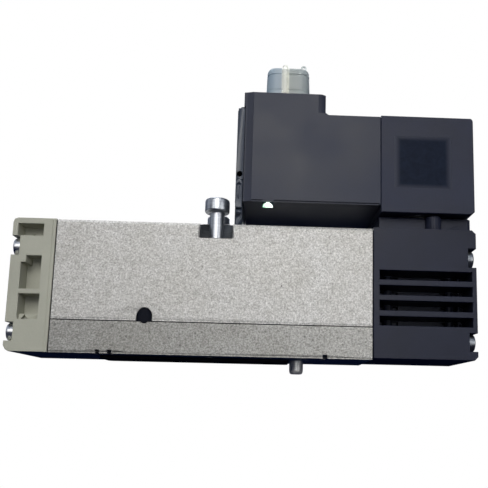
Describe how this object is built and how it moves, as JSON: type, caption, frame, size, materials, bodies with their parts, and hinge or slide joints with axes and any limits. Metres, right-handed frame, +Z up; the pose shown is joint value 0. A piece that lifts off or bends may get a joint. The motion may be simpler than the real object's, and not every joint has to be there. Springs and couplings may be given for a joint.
{
  "type": "solenoid directional valve",
  "caption": "Pilot-operated pneumatic directional valve for a sub-base, with a long metal body, plastic end pieces, a block coil and a round capped plug connector.",
  "frame": {"origin": "on the plane of the base's underside, midway between the two mounting screws", "axes": "+X along the spool towards the pilot end, +Y across the valve to its rear side, +Z up, away from the sub-base"},
  "size_m": [0.1285, 0.026, 0.0933],
  "materials": {
    "cast_body": "fine-blasted casting",
    "cast_base": "fine-blasted casting",
    "end_cover": "moulded, fine grain",
    "rubber": "moulded",
    "pin_steel": "ground",
    "screw_zinc": "zinc plated",
    "end_screw": "zinc plated",
    "pilot_plastic": "moulded",
    "coil_plastic": "moulded",
    "plug_plastic": "moulded",
    "override": "moulded",
    "label": "smooth",
    "spring_steel": "drawn wire",
    "soft_steel": "turned",
    "winding": "enamelled copper wire",
    "bobbin": "moulded",
    "board": "laminate",
    "lens": "clear moulding",
    "connector_metal": "nickel plated",
    "contact_gold": "gold plated",
    "cap_plastic": "translucent moulding",
    "spool_metal": "anodised",
    "piston_plastic": "moulded"
  },
  "bodies": {
    "valve": {"valve_body": "cast_body", "base_plate": "cast_base", "end_cover": "end_cover", "body_gasket": "rubber", "port_seal": "rubber", "end_cover_gasket": "rubber", "pilot_gasket": "rubber", "screw_retaining_ring_front": "rubber", "screw_retaining_ring_rear": "rubber", "locating_pin": "pin_steel", "end_cover_screw_front_upper": "end_screw", "end_cover_screw_front_lower": "end_screw", "end_cover_screw_rear_upper": "end_screw", "end_cover_screw_rear_lower": "end_screw", "pilot_block_screw_front_upper": "end_screw", "pilot_block_screw_front_lower": "end_screw", "pilot_block_screw_rear_upper": "end_screw", "pilot_block_screw_rear_lower": "end_screw", "pilot_block": "pilot_plastic", "pilot_adapter": "pilot_plastic", "plug_housing_cover": "pilot_plastic", "contact_insert": "pilot_plastic", "coil_housing": "coil_plastic", "plug_housing": "plug_plastic", "coil_label": "label", "return_spring": "spring_steel", "armature_spring": "spring_steel", "override_spring": "spring_steel", "coil_yoke_plate": "soft_steel", "fixed_core": "soft_steel", "armature_tube": "soft_steel", "coil_nut": "soft_steel", "coil_winding": "winding", "coil_bobbin": "bobbin", "circuit_board": "board", "status_lens": "lens", "m12_shell": "connector_metal", "contact_pin_1": "contact_gold", "contact_pin_2": "contact_gold", "contact_pin_3": "contact_gold", "contact_pin_4": "contact_gold"},
    "spool": {"spool": "spool_metal", "spool_seal_1": "rubber", "spool_seal_2": "rubber", "spool_seal_3": "rubber", "spool_seal_4": "rubber", "spool_seal_5": "rubber", "spool_seal_6": "rubber", "pilot_piston": "piston_plastic", "piston_seal": "rubber"},
    "armature": {"armature": "soft_steel", "seat_seal": "rubber"},
    "override": {"manual_override_button": "override"},
    "front_screw": {"mounting_screw_front": "screw_zinc"},
    "rear_screw": {"mounting_screw_rear": "screw_zinc"},
    "cap": {"protective_cap": "cap_plastic"}
  },
  "joints": [
    {"name": "spool_slide", "type": "slide", "parent": "valve", "child": "spool", "axis": [-1, 0, 0], "range_m": [0, 0.0035], "stiffness_N_per_m": 1500, "springref_m": -0.004, "deforming": ["return_spring"]},
    {"name": "armature_slide", "type": "slide", "parent": "valve", "child": "armature", "axis": [0, 0, 1], "range_m": [0, 0.0007], "stiffness_N_per_m": 800, "springref_m": -0.004, "deforming": ["armature_spring"]},
    {"name": "manual_override_press", "type": "slide", "parent": "valve", "child": "override", "axis": [0, -1, 0], "range_m": [0, 0.001], "stiffness_N_per_m": 500, "springref_m": -0.001, "deforming": ["override_spring"]},
    {"name": "front_mounting_screw_slide", "type": "slide", "parent": "valve", "child": "front_screw", "axis": [0, 0, -1], "range_m": [0, 0.008]},
    {"name": "rear_mounting_screw_slide", "type": "slide", "parent": "valve", "child": "rear_screw", "axis": [0, 0, -1], "range_m": [0, 0.008]},
    {"name": "protective_cap_pull", "type": "slide", "parent": "valve", "child": "cap", "axis": [0, 0, 1], "range_m": [0, 0.02]}
  ]
}
